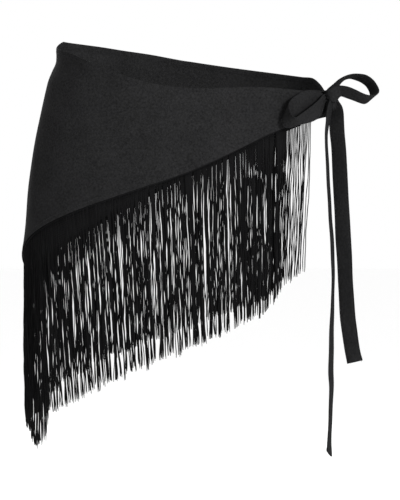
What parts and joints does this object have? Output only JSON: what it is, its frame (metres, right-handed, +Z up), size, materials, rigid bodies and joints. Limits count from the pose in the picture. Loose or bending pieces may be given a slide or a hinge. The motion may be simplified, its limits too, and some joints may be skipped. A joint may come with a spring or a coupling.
{
  "type": "fringed hip scarf",
  "caption": "Triangular hip scarf worn round an open waist and tied in a bow at the side, with a long fringe hanging from both slanted hems.",
  "frame": {"origin": "centre of the waist opening, where the hips hold the scarf up", "axes": "+X to the worn left side, where the bow is; +Y to the back; +Z up"},
  "size_m": [0.4268, 0.2345, 0.4954],
  "materials": {
    "crepe": "matt crepe with a fine pebbled weave",
    "strap": "matt crepe, turned and pressed, with stitched edges",
    "chainette": "knitted rayon cord with a soft sheen"
  },
  "bodies": {
    "root": {"wrap_front": "crepe", "wrap_back": "crepe", "fringe_front": "chainette", "fringe_back": "chainette", "tie_knot": "strap", "bow_loop_left": "strap", "bow_loop_right": "strap", "tail_wide": "strap", "tail_narrow": "strap"}
  },
  "joints": []
}
